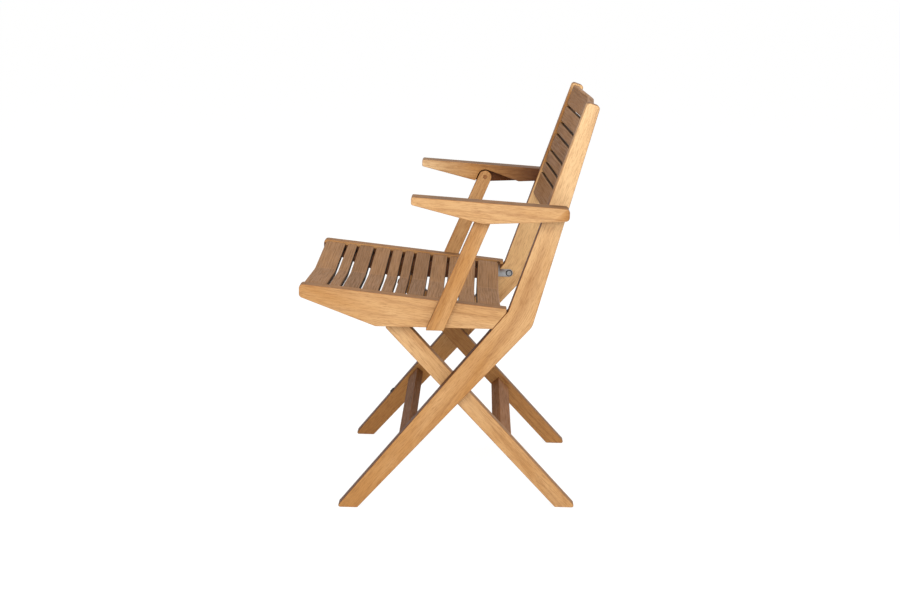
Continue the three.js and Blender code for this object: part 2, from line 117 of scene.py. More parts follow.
def combined(tree, *parts):
    return addNode(tree, "ShaderNodeCombineXYZ", dict(enumerate(parts))).outputs[0]


def separated(tree, vector):
    return addNode(tree, "ShaderNodeSeparateXYZ", {0: vector}).outputs


def mixColours(tree, share, first, second, blend="MIX"):
    sockets = {0: share, 6: first, 7: second}   # 1 to 5 mix other kinds of values
    return addNode(tree, "ShaderNodeMix", sockets, data_type="RGBA", blend_type=blend).outputs[2]


def span(tree, value, low, high, newLow=0.0, newHigh=1.0, blend="SMOOTHSTEP"):
    sockets = dict(enumerate((value, low, high, newLow, newHigh)))
    return addNode(tree, "ShaderNodeMapRange", sockets, interpolation_type=blend).outputs[0]


def stretchedNoise(tree, vector, stretch, detail, distortion=0.0):
    scaled = addNode(tree, "ShaderNodeVectorMath", {0: vector, 1: stretch}, operation="MULTIPLY")
    noise = addNode(tree, "ShaderNodeTexNoise", {
        "Vector": scaled.outputs[0], "Scale": 1.0, "Detail": detail, "Distortion": distortion})
    return noise.outputs["Fac"]


def attribute(tree, name):
    return addNode(tree, "ShaderNodeAttribute", attribute_type="GEOMETRY", attribute_name=name)


def colour(red, green, blue):
    def linear(value):
        value /= 255
        return value / 12.92 if value <= 0.04045 else ((value + 0.055) / 1.055) ** 2.4
    return (linear(red), linear(green), linear(blue), 1.0)


def newMaterial(name):
    material = bpy.data.materials.new(name)
    material.use_nodes = True
    tree = material.node_tree
    tree.nodes.clear()
    return material, tree


def addShader(tree, base, rough, height, bumpStrength, bumpDistance):
    bump = addNode(tree, "ShaderNodeBump", {
        "Strength": bumpStrength, "Distance": bumpDistance, "Height": height})
    shader = addNode(tree, "ShaderNodeBsdfPrincipled", {
        "Base Color": base, "Roughness": rough, "Normal": bump.outputs[0]})
    addNode(tree, "ShaderNodeOutputMaterial", {0: shader.outputs[0]})
    return shader


# teak: one recipe, three copies: the side wood, a darker copy for the slats that paints shade on their
# tops, and a copy in painted shade for the stretchers and leg rests. A tone of 0 is pale, 1 deep and 2
# full painted shade.
teakWoodAndShades = {
    "teakSide": {
        "pale": (237, 201, 152), "deep": (178, 127, 70), "paintedShade": (94, 51, 14), "topShadeColour": (104, 77, 52),
        "edge": (160, 106, 58), "lineTint": (194, 172, 156), "alongScale": 44.0, "gloss": 0.30,
    },
    "teakTop": {
        "pale": (176, 131, 89), "deep": (124, 87, 54), "paintedShade": (22, 16, 11), "topShadeColour": (136, 100, 66),
        "edge": (158, 116, 78), "lineTint": (178, 172, 168), "alongScale": 9.0, "gloss": 0.16,
    },
    "teakPaintedShade": {
        "pale": (160, 106, 58), "deep": (118, 74, 36), "paintedShade": (60, 38, 20), "topShadeColour": (96, 64, 36),
        "edge": (138, 90, 50), "lineTint": (180, 168, 160), "alongScale": 24.0, "gloss": 0.10,
    },
}
teakGrain = {
    "ringsPerMetre": 150, "ringWander": 2.6, "ringSharpness": 4.5,
    "ringShare": 0.36, "flameShare": 0.10, "fibreShare": 0.40, "poreShare": 0.45, "endShare": 0.8,
    # noises: turns per metre along the grain and across it, detail, distortion
    "mottle": ((7.0, 30.0, 30.0), 2.0),
    "wander": ((2.6, 18.0, 18.0), 3.0),
    "flame": ((9.0, 110.0, 110.0), 4.0, 0.6),
    "pores": ((110.0, 1300.0, 1300.0), 1.0),
    "fibreAcross": 520.0, "fibreDetail": 4.0,
    # parts of a noise that count, and what they give where that is not 0 to 1
    "poreSpan": (0.58, 0.74), "flameSpan": (0.42, 0.70), "fibreSpan": (0.47, 0.64),
    "ringSpan": (0.3, 0.7, 0.35, 1.0), "patchSpan": (0.35, 0.65, 0.6, 1.0),
    "edgeSpan": (0.3, 0.7, 0.25, 0.75), "roughSpan": (0.3, 0.7, 0.52, 0.70),
    "mottleTone": 0.6, "mottleShade": 0.3,   # how far the mottle shifts the tone
    "warmTint": (255, 246, 224),
    "weatheredRoughness": 0.08,
    "fibreHeight": 0.8, "poreHeight": -0.8, "ringHeight": -0.25,
    "bumpStrength": 0.35, "bumpDistance": 0.0004,
}


def makeTeak(name, finish):
    material, tree = newMaterial(name)
    tones = {key: colour(*value) for key, value in finish.items() if isinstance(value, tuple)}
    grain = attribute(tree, "grain").outputs["Vector"]
    tone = attribute(tree, "tone").outputs["Fac"]
    topShadeAndRoughness = attribute(tree, "topShadeAndRoughness").outputs["Fac"]
    edge = attribute(tree, "edge").outputs["Fac"]
    endGrain = attribute(tree, "endGrain").outputs["Fac"]
    parts = separated(tree, grain)

    mottle = stretchedNoise(tree, grain, *teakGrain["mottle"])
    wander = stretchedNoise(tree, grain, *teakGrain["wander"])
    across = combined(tree, 0.0, parts[1], parts[2])
    radius = addNode(tree, "ShaderNodeVectorMath", {0: across}, operation="LENGTH")
    turns = maths(tree, "MULTIPLY", radius.outputs["Value"], teakGrain["ringsPerMetre"])
    turns = maths(tree, "MULTIPLY_ADD", wander, teakGrain["ringWander"], turns)
    ring = maths(tree, "SINE", maths(tree, "MULTIPLY", turns, 2 * math.pi))
    ring = maths(tree, "POWER", maths(tree, "MULTIPLY_ADD", ring, 0.5, 0.5), teakGrain["ringSharpness"])
    fibreStretch = (finish["alongScale"], teakGrain["fibreAcross"], teakGrain["fibreAcross"])
    fibre = stretchedNoise(tree, grain, fibreStretch, teakGrain["fibreDetail"])
    flame = stretchedNoise(tree, grain, *teakGrain["flame"])
    pores = span(tree, stretchedNoise(tree, grain, *teakGrain["pores"]), *teakGrain["poreSpan"])

    # tone and painted shade, then the grain's lines over it
    shift = maths(tree, "MULTIPLY", maths(tree, "SUBTRACT", mottle, 0.5), teakGrain["mottleTone"])
    base = mixColours(tree, maths(tree, "ADD", tone, shift, clamp=True), tones["pale"], tones["deep"])
    shadeShift = maths(tree, "MULTIPLY", shift, teakGrain["mottleShade"])
    # a tone above 1 mixes towards the painted shade colour
    shadeShare = maths(tree, "ADD", maths(tree, "SUBTRACT", tone, 1.0), shadeShift, clamp=True)
    base = mixColours(tree, shadeShare, base, tones["paintedShade"])
    warmth = attribute(tree, "warmth").outputs["Fac"]
    base = mixColours(tree, warmth, base, colour(*teakGrain["warmTint"]), "MULTIPLY")
    patch = span(tree, mottle, *teakGrain["patchSpan"])
    # upward faces darken: painted shade, patchy with the mottle
    base = mixColours(tree, maths(tree, "MULTIPLY", topShadeAndRoughness, patch), base, tones["topShadeColour"])
    lines = maths(tree, "MULTIPLY", ring, teakGrain["ringShare"])
    lines = maths(tree, "MULTIPLY", lines, span(tree, wander, *teakGrain["ringSpan"]))
    flames = maths(tree, "MULTIPLY", span(tree, flame, *teakGrain["flameSpan"]), teakGrain["flameShare"])
    streaks = span(tree, fibre, *teakGrain["fibreSpan"])
    streaks = maths(tree, "MULTIPLY", streaks, teakGrain["fibreShare"])
    specks = maths(tree, "MULTIPLY", pores, teakGrain["poreShare"])
    for share in (lines, flames, streaks, specks):
        darker = mixColours(tree, 1.0, base, tones["lineTint"], "MULTIPLY")
        base = mixColours(tree, share, base, darker)
    # rounded edges take the edge colour, patchy with the mottle, less in painted shade
    edgeShare = maths(tree, "MULTIPLY", edge, span(tree, mottle, *teakGrain["edgeSpan"]))
    edgeShare = maths(tree, "MULTIPLY", edgeShare, maths(tree, "SUBTRACT", 1.0, shadeShare))
    base = mixColours(tree, edgeShare, base, tones["edge"])
    darker = mixColours(tree, 1.0, base, tones["lineTint"], "MULTIPLY")
    base = mixColours(tree, maths(tree, "MULTIPLY", endGrain, teakGrain["endShare"]), base, darker)

    rough = span(tree, fibre, *teakGrain["roughSpan"])
    rough = maths(tree, "MULTIPLY_ADD", topShadeAndRoughness, teakGrain["weatheredRoughness"], rough)
    height = maths(tree, "MULTIPLY", fibre, teakGrain["fibreHeight"])
    height = maths(tree, "MULTIPLY_ADD", pores, teakGrain["poreHeight"], height)
    height = maths(tree, "MULTIPLY_ADD", ring, teakGrain["ringHeight"], height)
    shader = addShader(tree, base, rough, height, teakGrain["bumpStrength"], teakGrain["bumpDistance"])
    shader.inputs["Specular IOR Level"].default_value = finish["gloss"]
    return material


# hinge plates, bolts, pins and stud: brushed or moulded, with faint stains, and painted shade on the
# hinge ears
bitFinishes = {
    "brushedSteel": {
        "bright": (184, 186, 188), "dull": (132, 134, 137), "roughSpan": (0.3, 0.7, 0.28, 0.46),
        "metallic": 1.0, "brushing": ((300.0, 60.0, 2400.0), 3.0), "bumpStrength": 0.12,
    },
    "darkNylon": {
        "bright": (26, 23, 21), "dull": (48, 43, 39), "roughSpan": (0.3, 0.7, 0.45, 0.62),
        "metallic": 0.0, "brushing": ((900.0, 900.0, 900.0), 3.0), "bumpStrength": 0.2,
    },
}
bitWearAndShade = {
    "stains": ((140.0, 140.0, 140.0), 2.0),
    "brushedShare": 0.6, "stainShare": 0.5, "bumpDistance": 0.0002,
    "earShade": (92, 66, 46),
    "earShadeAbove": 0.4215,     # the hinge's ears stand above this height
    "earShadeBefore": 0.118,     # and in front of this y
}


def makeBitFinish(name, finish):
    material, tree = newMaterial(name)
    place = addNode(tree, "ShaderNodeTexCoord").outputs["Object"]
    brushed = stretchedNoise(tree, place, *finish["brushing"])
    stains = stretchedNoise(tree, place, *bitWearAndShade["stains"])
    share = maths(tree, "MULTIPLY", stains, bitWearAndShade["stainShare"])
    share = maths(tree, "MULTIPLY_ADD", brushed, bitWearAndShade["brushedShare"], share, clamp=True)
    base = mixColours(tree, share, colour(*finish["bright"]), colour(*finish["dull"]))
    # painted shade on the hinge ears
    base = mixColours(tree, attribute(tree, "earShade").outputs["Fac"], base, colour(*bitWearAndShade["earShade"]))
    rough = span(tree, stains, *finish["roughSpan"])
    shader = addShader(tree, base, rough, brushed, finish["bumpStrength"], bitWearAndShade["bumpDistance"])
    shader.inputs["Metallic"].default_value = finish["metallic"]
    return material


print("making the finishes")
teak = {name: makeTeak(name, finish) for name, finish in teakWoodAndShades.items()}
bitMaterials = {name: makeBitFinish(name, finish) for name, finish in bitFinishes.items()}


# mesh helpers
meshRules = {
    "mergeGap": 2e-5, "flatAngle": 0.6,      # angles in degrees
    "cornerAngle": 28, "smoothAngle": 38,    # a sharper corner is rounded, a sharper edge stays hard
    "boreReach": 0.008,                      # an edge this near to a pin's centre belongs to its bore
    "boreEdge": 0.003, "boreSide": 0.001,
    "cutSnap": 1e-6, "onPlane": 1e-5,
    "spikeLeast": 1e-7, "spikeMost": 0.001, "spikeTurn": 0.5,
}


def applied(source, name):
    graph = bpy.context.evaluated_depsgraph_get()
    mesh = bpy.data.meshes.new_from_object(source.evaluated_get(graph), preserve_all_data_layers=True,
                                           depsgraph=graph)
    old = source.data
    piece = addObject(name, mesh)
    bpy.data.objects.remove(source)
    if old.users == 0:
        bpy.data.meshes.remove(old)
    return piece


pinNames = [name for name in nodes if any(word in name for word in ("_pin_", "bolt", "screw", "stud"))]
pinBoxes = {name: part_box(name) for name in pinNames}
pinPlaces = {name: (low + high) / 2 for name, (low, high) in pinBoxes.items()}


def onBore(edge):
    if edge.calc_length() > meshRules["boreEdge"]:
        return False
    middle = ((edge.verts[0].co + edge.verts[1].co) / 2).yz
    return any((middle - place.yz).length < meshRules["boreReach"] for place in pinPlaces.values())


def hasBore(build, pin):
    low, high = pinBoxes[pin]
    near, far = low.x - meshRules["boreSide"], high.x + meshRules["boreSide"]
    reach = meshRules["boreReach"]
    return any(near < vertex.co.x < far and (vertex.co.yz - pinPlaces[pin].yz).length < reach
               for vertex in build.verts)


def sliced(build, planes):
    snap = meshRules["cutSnap"]
    for point, normal in planes:
        everything = build.verts[:] + build.edges[:] + build.faces[:]
        bmesh.ops.bisect_plane(build, geom=everything, plane_co=point, plane_no=normal, dist=snap)
    # a cut may leave a corner that doubles back on its own edge
    least, most = meshRules["spikeLeast"], meshRules["spikeMost"]
    sharpest = math.radians(meshRules["spikeTurn"])
    spikes = {}
    for loop in (loop for face in build.faces for loop in face.loops):
        before, after = loop.link_loop_prev.vert, loop.link_loop_next.vert
        back, onward = before.co - loop.vert.co, after.co - loop.vert.co
        short = min(back.length, onward.length)
        if least < short < most and back.angle(onward) < sharpest:
            spikes[loop.vert] = before if back.length < onward.length else after
    spikes = {spike: kept for spike, kept in spikes.items() if kept not in spikes}
    if spikes:
        bmesh.ops.weld_verts(build, targetmap=spikes)


def mergedCopy(node, alongAt=None):
    build = bmesh.new()
    build.from_mesh(nodes[node].data)
    bmesh.ops.remove_doubles(build, verts=build.verts, dist=meshRules["mergeGap"])
    flat = math.radians(meshRules["flatAngle"])
    bmesh.ops.dissolve_limit(build, angle_limit=flat, verts=build.verts, edges=build.edges)
    if alongAt:
        # a plane across the board through each bore divides the faces round it cleanly
        planes = [(place, alongAt(place)) for pin, place in pinPlaces.items()
                  if pin != node and hasBore(build, pin)]
        sliced(build, planes)
        if planes:
            bmesh.ops.dissolve_edges(build, edges=spareEdges(build, planes), use_verts=False)
    return build


def spareEdges(build, planes):
    # flat edges across a face that lie in none of the planes
    spare, flat, close = [], math.radians(meshRules["flatAngle"]), meshRules["onPlane"]
    for edge in build.edges:
        if len(edge.link_faces) != 2 or edge.calc_face_angle() > flat:
            continue
        if not any(all(abs((vertex.co - point).dot(normal)) < close for vertex in edge.verts)
                   for point, normal in planes):
            spare.append(edge)
    return spare


def roundedPiece(node, name, rounding, segments, cuts=(), alongAt=None, keepBores=True):
    build = mergedCopy(node, alongAt)
    weights = build.edges.layers.float.new("bevel_weight_edge")
    corner = math.radians(meshRules["cornerAngle"])
    for edge in build.edges:
        if len(edge.link_faces) != 2 or edge.calc_face_angle_signed() < corner:
            continue
        if keepBores and onBore(edge):
            continue
        edge[weights] = 1.0
    mesh = bpy.data.meshes.new(name)
    build.to_mesh(mesh)
    build.free()
    mesh.materials.clear()
    mesh.materials.append(None)
    mesh.materials.append(None)
    source = addObject(name + "Source", mesh)
    bevel = source.modifiers.new("rounding", "BEVEL")
    bevel.limit_method = "WEIGHT"
    bevel.width = rounding
    bevel.segments = segments
    bevel.use_clamp_overlap = False
    bevel.material = 1   # marks the rounded strips until the piece is dressed
    rounded = applied(source, name + "Rounded")
    if cuts:
        build = bmesh.new()
        build.from_mesh(rounded.data)
        sliced(build, cuts)
        build.to_mesh(rounded.data)
        build.free()
    return smoothed(rounded, name)


def smoothFaces(mesh):
    for face in mesh.polygons:
        face.use_smooth = True


def smoothed(piece, name):
    smoothFaces(piece.data)
    piece.data.set_sharp_from_angle(angle=math.radians(meshRules["smoothAngle"]))
    normals = piece.modifiers.new("normals", "WEIGHTED_NORMAL")
    normals.keep_sharp = True
    return applied(piece, name)


def floatLayer(mesh, name, domain, values):
    layer = mesh.attributes.new(name, "FLOAT", domain)
    layer.data.foreach_set("value", values)


def ramp(value, start, width):
    return min(1.0, max(0.0, (value - start) / width))


def dressWood(piece, finish, grainAt, alongAt, toneAt, topShadeAndRoughWeight):
    mesh = piece.data
    points = [grainAt(vertex.co) for vertex in mesh.vertices]
    layer = mesh.attributes.new("grain", "FLOAT_VECTOR", "POINT")
    layer.data.foreach_set("vector", [number for point in points for number in point])
    normals = [corner.vector.copy() for corner in mesh.corner_normals]
    tones, topShadeAndRoughness, ends, edges = ([0.0] * len(mesh.loops) for layers in range(4))
    for face in mesh.polygons:
        along = alongAt(face.center)
        for index in face.loop_indices:
            normal = normals[index]
            tones[index] = toneAt(mesh.vertices[mesh.loops[index].vertex_index].co, normal)
            # upward faces take painted shade, and a little more roughness
            topShadeAndRoughness[index] = topShadeAndRoughWeight * ramp(normal.z, *boardShapes["upwardRamp"])
            ends[index] = ramp(abs(normal.dot(along)), *boardShapes["endRamp"])
            edges[index] = 1.0 if face.material_index == 1 else 0.0
        face.material_index = 0
    floatLayer(mesh, "tone", "CORNER", tones)
    floatLayer(mesh, "topShadeAndRoughness", "CORNER", topShadeAndRoughness)
    floatLayer(mesh, "endGrain", "CORNER", ends)
    floatLayer(mesh, "edge", "CORNER", edges)
    mesh.materials.clear()
    mesh.materials.append(teak[finish])


def settle(piece, node):
    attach(piece, bodyOf[node])
    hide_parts(node)
    return piece


# wooden boards: grain direction in degrees from +Y towards +Z in the side plane, or across the chair
boardShapes = {
    "edgeRounding": 0.0012,
    "roundingSteps": 3,
    "narrowShade": 0.45,         # painted shade: how much deeper the narrow faces are toned
    "upwardRamp": (0.55, 0.3),  # painted top shade, from this upward slant, over this much more of it
    "endRamp": (0.5, 0.4),
    "grainAlong": 40, "heartBeside": 0.03, "heartDepth": (0.03, 0.075),   # each board's place in its tree
    "leanMost": 0.035,
    "faceShare": 0.5, "endFace": 0.7,        # a normal's share that makes it a side face or an end
    "lastPart": 0.025,           # of a board, toned deeper by its end depth
    "seed": 11,
}
boards = {   # tones are for the near and the far board, each at its front and its rear end; they are partly the wood's own tone and partly painted shade, deepest on the far board
    "seat_rail": {
        "grain": -5.7, "finish": "teakSide", "tones": ((0.86, 0.68), (0.9, 0.9)), "topShadeAndRoughWeight": 0.6,
        "recess": -1.0,          # the whole inner face takes painted shade, below the slats
        "innerShade": 2.2, "deck": "seat_slat_6", "deckFade": (-0.003, -0.006),
    },
    "rear_leg": {
        "grain": -46.9, "finish": "teakSide", "tones": ((0.62, 0.82), (1.28, 1.15)), "topShadeAndRoughWeight": 0.9,
    },
    "armrest": {
        "grain": -3.2, "finish": "teakSide", "tones": ((0.70, 0.74), (0.15, 2.35)), "topShadeAndRoughWeight": 0.9,
        # the faces inside the armrest's recess take painted shade
        "recess": 0.003, "innerShade": 2.0, "endDepth": 0.7,
    },
    "arm_post": {
        "grain": 67.8, "finish": "teakSide", "tones": ((1.05, 0.78), (0.85, 0.85)), "topShadeAndRoughWeight": 0.3,
    },
    # the cleats, and the leg rests below, are toned into painted shade
    "seat_cleat": {
        "grain": -5.7, "finish": "teakSide", "tones": ((2.0, 2.0), (2.0, 2.0)), "topShadeAndRoughWeight": 0.0,
    },
    "leg_rest": {
        "grain": -5.7, "finish": "teakPaintedShade", "tones": ((1.5, 1.5), (1.5, 1.5)), "topShadeAndRoughWeight": 0.0,
    },
    "post_head_pin": {
        "grain": "across", "finish": "teakSide", "tones": ((0.9, 0.9), (0.9, 0.9)), "topShadeAndRoughWeight": 0.0,
    },
}
stretchers = {
    "front_stretcher": {
        "grain": "across", "finish": "teakPaintedShade", "tones": (0.85, 0.85), "topShadeAndRoughWeight": 0.5,
    },
    "rear_stretcher": {
        "grain": "across", "finish": "teakPaintedShade", "tones": (0.35, 0.35), "topShadeAndRoughWeight": 0.5,
    },
}


def ringOffset(dice):
    beside = boardShapes["heartBeside"]
    return Vector((dice.uniform(0, boardShapes["grainAlong"]), dice.uniform(-beside, beside),
                   dice.choice((-1, 1)) * dice.uniform(*boardShapes["heartDepth"])))


def grainFrame(grain):
    if grain == "across":
        return Matrix(((1, 0, 0), (0, 1, 0), (0, 0, 1)))
    angle = math.radians(grain)
    along = (0, math.cos(angle), math.sin(angle))
    beside = (0, -math.sin(angle), math.cos(angle))
    return Matrix((along, beside, (1, 0, 0)))


def addBoard(node, facts, tones=None, outerTones=None, cuts=(), grainAt=None, alongAt=None, toneAt=None):
    axes = grainFrame(facts["grain"])
    alongAt = alongAt or (lambda point: axes[0])
    if "deck" in facts:
        # the inner face takes painted shade below the slats, between two cuts along the board
        top = max((axes @ vertex.co).y for vertex in nodes[facts["deck"]].data.vertices)
        cuts = [(axes[1] * (top + fade), axes[1]) for fade in facts["deckFade"]]
        deck = top + sum(facts["deckFade"]) / 2
    rounding, steps = boardShapes["edgeRounding"], boardShapes["roundingSteps"]
    piece = roundedPiece(node, "teak_" + node, rounding, steps, cuts, alongAt)
    low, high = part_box(node)
    middle, offset = (low + high) / 2, ringOffset(dice)
    lean = dice.uniform(-boardShapes["leanMost"], boardShapes["leanMost"])

    def straight(point):
        local = axes @ (point - middle)
        return local + offset + Vector((0, lean * local.x, 0))

    # painted shade on inner faces in a recess or below the slats, and on the narrow faces
    def evenTone(point, normal):
        narrow = 0.0 if facts["grain"] == "across" else 1.0 - abs(normal.x)
        share = (point.y - low.y) / (high.y - low.y)
        inner = low.x if middle.x > 0 else high.x
        outward, sideways = normal.x * middle.x, boardShapes["faceShare"] * abs(middle.x)
        inside = "recess" in facts and abs(point.x - inner) > facts["recess"] and outward < -sideways
        if "deck" in facts and (axes @ point).y > deck:
            inside = False
        outer = outward > sideways or abs(normal.dot(axes[0])) > boardShapes["endFace"]
        front, rear = outerTones if outer else tones
        own = facts["innerShade"] if inside else front + (rear - front) * share
        last = boardShapes["lastPart"]
        own += facts.get("endDepth", 0.0) * max(0.0, (share - (1 - last)) / last)
        return own + boardShapes["narrowShade"] * narrow

    dressWood(piece, facts["finish"], grainAt or straight, alongAt, toneAt or evenTone,
              facts["topShadeAndRoughWeight"])
    return settle(piece, node)


print("rounding and dressing the boards")
dice = random.Random(boardShapes["seed"])
for index, side in enumerate(("left", "right")):
    for kind, facts in boards.items():
        addBoard(f"{kind}_{side}", facts, facts["tones"][index], facts["tones"][0])
for node, facts in stretchers.items():
    addBoard(node, facts, facts["tones"], facts["tones"])


# back legs: the grain follows the leg and turns with it into the stile
backLegs = {
    "grain": 60,                    # degrees, midway between the leg and the stile
    "bend": (0.126887, 0.4365),     # y and z of the bend's front corner
    "stileRise": 71.4,              # degrees above the floor
    "legRise": 51.1,
    "turnRadius": 0.16,             # of the grain's turn, in front of the bend
    "turnCuts": 7,
    "grainPath": 0.03,              # from the bend's front corner to the grain that keeps its length
    "heartDepth": 0.025,            # the tree's middle, behind that corner
    "heartSide": 0.05,              # and beside the board
    "finish": "teakSide",
    "heights": (0.0, 0.45, 0.645, 0.70, 0.83, 0.86),   # at which tones and the front edge's painted shade are given
    # right is the far leg, whose deeper tones low down and above the armrest are painted shade
    "tones": {
        "left": (1.04, 0.78, 0.45, 0.42, 0.32, 0.26),
        "right": (1.36, 0.32, 0.32, 1.25, 1.10, 0.2),
    },
    "topShadeAndRoughWeight": 0.9,
    "frontShades": (2.0, 2.0, 2.0, 0.15, 0.15, 0.15),   # painted shade: how much deeper the front edge is toned
    "toneCuts": (0.70, 0.83),
    "warmth": {"left": 0.0, "right": 0.5},
}


def between(place, places, values):
    for index in range(1, len(places)):
        if place < places[index] or index == len(places) - 1:
            share = (place - places[index - 1]) / (places[index] - places[index - 1])
            return values[index - 1] + (values[index] - values[index - 1]) * share


def wayUp(rise):
    return Vector((0, math.cos(rise), math.sin(rise)))


def wayBehind(rise):
    return Vector((0, math.sin(rise), -math.cos(rise)))


def addBackLeg(side):
    facts = backLegs
    rises = [math.radians(facts[key]) for key in ("legRise", "stileRise")]
    bend = Vector((0, *facts["bend"]))
    halfway = (rises[0] + rises[1]) / 2
    radius = facts["turnRadius"]
    centre = bend - wayBehind(halfway) * radius
    offset = ringOffset(dice)
    offset.z = math.copysign(facts["heartSide"], offset.z)

    def riseAt(point):
        local = point - centre
        return min(max(math.atan2(local.z, local.y) + math.pi / 2, rises[0]), rises[1])

    def turned(point):
        local, rise = point - centre, riseAt(point)
        travel = local.dot(wayUp(rise)) + (rise - halfway) * (radius + facts["grainPath"])
        depth = local.dot(wayBehind(rise)) - radius - facts["heartDepth"]
        return Vector((travel, depth, point.x)) + offset

    def alongAt(point):
        return wayUp(riseAt(point))

    def toneAt(point, normal):
        # painted shade on the narrow faces, deeper on the front edge
        narrow = boardShapes["narrowShade"] * (1.0 - abs(normal.x))
        front = between(point.z, facts["heights"], facts["frontShades"]) * max(0.0, -normal.y)
        # the far leg's outer face, which the photograph doesn't show, has the near leg's tones
        outer = side == "right" and normal.x < -boardShapes["faceShare"]
        tones = facts["tones"]["left" if outer else side]
        return between(point.z, facts["heights"], tones) + max(narrow, front)

    cuts = []
    for index in range(facts["turnCuts"] + 1):
        cuts.append((centre, wayUp(rises[0] + (rises[1] - rises[0]) * index / facts["turnCuts"])))
    stileWay = cuts[-1][1]
    for height in facts["toneCuts"]:
        cuts.append((bend + stileWay * ((height - bend.z) / stileWay.z), stileWay))
    piece = addBoard(f"back_leg_{side}", facts, cuts=cuts, grainAt=turned, alongAt=alongAt,
                     toneAt=toneAt)
    floatLayer(piece.data, "warmth", "POINT", [facts["warmth"][side]] * len(piece.data.vertices))


for side in ("left", "right"):
    addBackLeg(side)


# slats: a Geometry Nodes tree sweeps a rounded section along the dish of each slat
slatShape = {
    "pathPoints": 73,               # across the chair
    "cornerSteps": 4,
    "grainAlong": (0.0, 40.0),      # each slat's own place in the wood
    "grainBeside": (0.04, 0.12), "grainAbove": (0.01, 0.05),
    "figureFall": 0.25,             # below 1 the figure follows the dish instead of crossing it
    "gapRamp": (0.75, 0.25),        # from this slant towards a gap, over this much more of it
    "rowEnd": 0.003,                # a face this near to the row's end isn't inside a gap
    "nearRamp": 0.01,               # from the middle of the chair to its near half
    "edgeSlant": (0.2, 0.95), "creaseHalf": 0.004,
    "topShadeAndRoughWeight": 0.6, "endFace": 0.9,
}
slatRows = {
    # gap and near-half depths are painted shade; the crease is a painted highlight
    "seat_slats": {
        "nodes": "seat_slat_", "body": "seat", "count": 11, "slope": -5.7,
        "thickness": 0.016, "dish": 0.015, "flatEnd": 0.024, "bendHalf": 0.012,
        "rounding": 0.0022, "lowerRounding": 0.0055, "tones": (0.05, 0.85), "gapShade": 2.2, "seed": 5,
        "nearHalfShade": 0.28, "creaseHighlight": 0.7, "rearFaceShare": 0.45, "warmth": 0.15,
    },
    "back_slats": {
        "nodes": "back_slat_", "body": "back_frame", "count": 7, "slope": 71.4,
        "thickness": 0.015, "dish": 0.0166, "flatEnd": 0.024, "bendHalf": 0.022,
        "rounding": 0.0028, "lowerRounding": 0.0028, "tones": (0.35, 0.85), "gapShade": 2.0, "seed": 8,
        "nearHalfShade": 0.1, "creaseHighlight": 0.3, "rearFaceShare": 1.0, "warmth": 1.0,
    },
}


def addInput(tree, name, kind):
    tree.interface.new_socket(name, in_out="INPUT", socket_type=kind)


def position(tree):
    return addNode(tree, "GeometryNodeInputPosition").outputs[0]


def switched(tree, choice, no, yes):
    sockets = {"Switch": choice, "False": no, "True": yes}
    return addNode(tree, "GeometryNodeSwitch", sockets, input_type="FLOAT").outputs[0]


def slatPath(tree, given, half):
    # across the chair, dished in the middle
    line = addNode(tree, "GeometryNodeMeshLine", {
        "Count": slatShape["pathPoints"],
        "Start Location": combined(tree, maths(tree, "MULTIPLY", half, -1.0)),
        "Offset": combined(tree, half),
    }, mode="END_POINTS", count_mode="TOTAL")
    away = maths(tree, "ABSOLUTE", separated(tree, position(tree))[0])
    bend = given["Bend half width"]
    soft = maths(tree, "MULTIPLY_ADD", away, away, maths(tree, "MULTIPLY", bend, bend))
    soft = maths(tree, "DIVIDE", soft, maths(tree, "MULTIPLY", bend, 2.0))
    distance = switched(tree, maths(tree, "LESS_THAN", away, bend), away, soft)
    shoulder = maths(tree, "SUBTRACT", half, given["Flat end"])
    fall = maths(tree, "SUBTRACT", 1.0, maths(tree, "DIVIDE", distance, shoulder))
    fall = maths(tree, "MAXIMUM", fall, 0.0)
    drop = maths(tree, "MULTIPLY", maths(tree, "MULTIPLY", fall, given["Dish depth"]), -1.0)
    lowered = maths(tree, "MULTIPLY_ADD", given["Thickness"], -0.5, drop)
    dished = addNode(tree, "GeometryNodeSetPosition", {
        "Geometry": line.outputs[0], "Offset": combined(tree, 0.0, 0.0, lowered)})
    path = addNode(tree, "GeometryNodeMeshToCurve", {0: dished.outputs[0]})
    return addNode(tree, "GeometryNodeSetCurveNormal", {"Curve": path.outputs[0]}, mode="Z_UP").outputs[0]


def slatSection(tree, given, width):
    # a rectangle whose lower corners have their own rounding
    section = addNode(tree, "GeometryNodeCurvePrimitiveQuadrilateral", {
        "Width": width, "Height": given["Thickness"]}, mode="RECTANGLE")
    lower = maths(tree, "LESS_THAN", separated(tree, position(tree))[1], 0.0)
    return addNode(tree, "GeometryNodeFilletCurve", {
        "Curve": section.outputs[0], "Count": slatShape["cornerSteps"],
        "Radius": switched(tree, lower, given["Edge rounding"], given["Lower rounding"]),
    }, mode="POLY").outputs[0]


